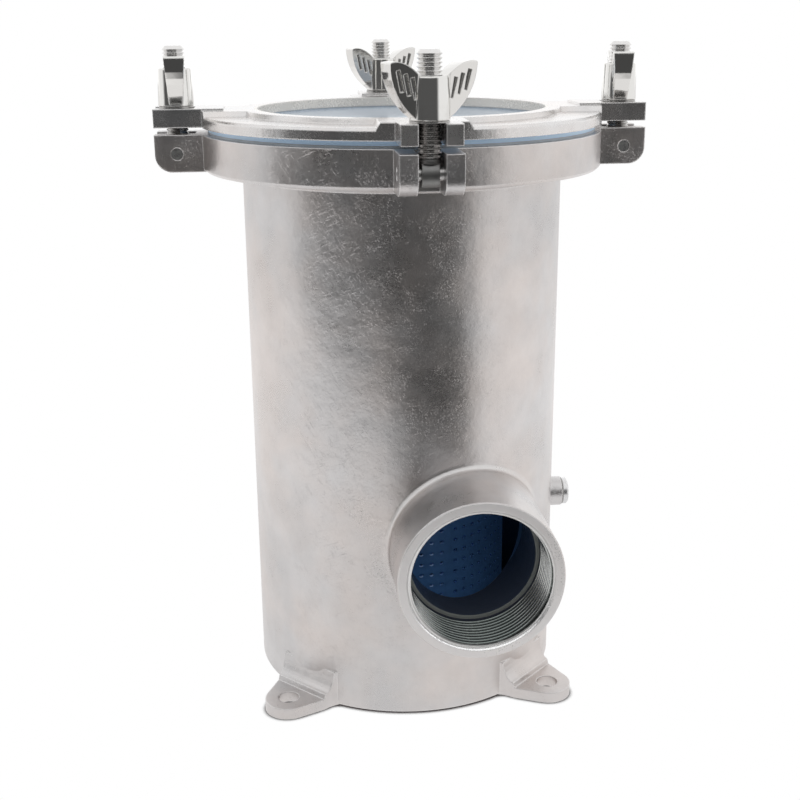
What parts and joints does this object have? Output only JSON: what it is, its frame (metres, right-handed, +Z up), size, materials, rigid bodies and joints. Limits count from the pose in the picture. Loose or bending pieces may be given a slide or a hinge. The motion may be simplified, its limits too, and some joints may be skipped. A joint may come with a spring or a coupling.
{
  "type": "seawater basket strainer",
  "caption": "Cast seawater strainer: cylindrical body with threaded ports, bolt-down feet, perforated basket and a sight window cover held by swing bolts with wing nuts.",
  "frame": {"origin": "centre of the flat base, on the axis of the body", "axes": "+Z up along the body, -Y towards the outlet port and the front clamp, +X towards the drain plug"},
  "size_m": [0.2104, 0.2116, 0.282],
  "materials": {
    "cast_body": "satin cast stainless steel with fine scratches",
    "cast_cover": "satin cast stainless steel",
    "window": "clear blue-grey acrylic",
    "pale_seal": "matt pale seal",
    "dark_seal": "matt black seal",
    "basket": "satin navy blue moulding",
    "wire": "drawn stainless wire",
    "bolt": "machined stainless steel",
    "nut": "mirror polished"
  },
  "bodies": {
    "strainer": {"body_casting": "cast_body", "cover_ring": "cast_cover", "sight_window": "window", "flange_seal": "pale_seal", "window_seal": "pale_seal", "basket_shell": "basket", "basket_floor": "basket", "basket_rim": "basket", "drain_plug": "cast_body", "drain_seal": "dark_seal", "hinge_pin_1": "wire", "hinge_pin_2": "wire", "hinge_pin_3": "wire", "hinge_pin_4": "wire"},
    "bail": {"basket_bail": "wire"},
    "bolt_1": {"eye_bolt_1": "bolt"},
    "lift_1": {"washer_1": "bolt"},
    "nut_1": {"wing_nut_1": "nut"},
    "bolt_2": {"eye_bolt_2": "bolt"},
    "lift_2": {"washer_2": "bolt"},
    "nut_2": {"wing_nut_2": "nut"},
    "bolt_3": {"eye_bolt_3": "bolt"},
    "lift_3": {"washer_3": "bolt"},
    "nut_3": {"wing_nut_3": "nut"},
    "bolt_4": {"eye_bolt_4": "bolt"},
    "lift_4": {"washer_4": "bolt"},
    "nut_4": {"wing_nut_4": "nut"}
  },
  "joints": [
    {"name": "bail_lift", "type": "hinge", "parent": "strainer", "child": "bail", "pos_m": [0, 0, 0.1438], "axis": [1, 0, 0], "range_deg": [0, 90]},
    {"name": "bolt_1_swing", "type": "hinge", "parent": "strainer", "child": "bolt_1", "pos_m": [0, -0.096, 0.2384], "axis": [1, 0, 0], "range_deg": [0, 86]},
    {"name": "nut_1_travel", "type": "slide", "parent": "bolt_1", "child": "lift_1", "axis": [0, 0, 1], "range_m": [0, 0.015]},
    {"name": "nut_1_spin", "type": "hinge", "parent": "lift_1", "child": "nut_1", "pos_m": [0, -0.096, 0.265], "axis": [0, 0, 1], "range_deg": [0, 3570]},
    {"name": "bolt_2_swing", "type": "hinge", "parent": "strainer", "child": "bolt_2", "pos_m": [0.096, 0, 0.2384], "axis": [0, 1, 0], "range_deg": [0, 86]},
    {"name": "nut_2_travel", "type": "slide", "parent": "bolt_2", "child": "lift_2", "axis": [0, 0, 1], "range_m": [0, 0.015]},
    {"name": "nut_2_spin", "type": "hinge", "parent": "lift_2", "child": "nut_2", "pos_m": [0.096, 0, 0.265], "axis": [0, 0, 1], "range_deg": [0, 3570]},
    {"name": "bolt_3_swing", "type": "hinge", "parent": "strainer", "child": "bolt_3", "pos_m": [0, 0.096, 0.2384], "axis": [-1, 0, 0], "range_deg": [0, 86]},
    {"name": "nut_3_travel", "type": "slide", "parent": "bolt_3", "child": "lift_3", "axis": [0, 0, 1], "range_m": [0, 0.015]},
    {"name": "nut_3_spin", "type": "hinge", "parent": "lift_3", "child": "nut_3", "pos_m": [0, 0.096, 0.265], "axis": [0, 0, 1], "range_deg": [0, 3570]},
    {"name": "bolt_4_swing", "type": "hinge", "parent": "strainer", "child": "bolt_4", "pos_m": [-0.096, 0, 0.2384], "axis": [0, -1, 0], "range_deg": [0, 86]},
    {"name": "nut_4_travel", "type": "slide", "parent": "bolt_4", "child": "lift_4", "axis": [0, 0, 1], "range_m": [0, 0.015]},
    {"name": "nut_4_spin", "type": "hinge", "parent": "lift_4", "child": "nut_4", "pos_m": [-0.096, 0, 0.265], "axis": [0, 0, 1], "range_deg": [0, 3570]}
  ],
  "couplings": [
    {"joint": "nut_1_travel", "follows": "nut_1_spin", "m_per_rad": 0.00023873},
    {"joint": "bolt_1_swing", "follows": "nut_1_spin", "ratio": 0.02381},
    {"joint": "nut_2_travel", "follows": "nut_2_spin", "m_per_rad": 0.00023873},
    {"joint": "bolt_2_swing", "follows": "nut_2_spin", "ratio": 0.02381},
    {"joint": "nut_3_travel", "follows": "nut_3_spin", "m_per_rad": 0.00023873},
    {"joint": "bolt_3_swing", "follows": "nut_3_spin", "ratio": 0.02381},
    {"joint": "nut_4_travel", "follows": "nut_4_spin", "m_per_rad": 0.00023873},
    {"joint": "bolt_4_swing", "follows": "nut_4_spin", "ratio": 0.02381}
  ]
}
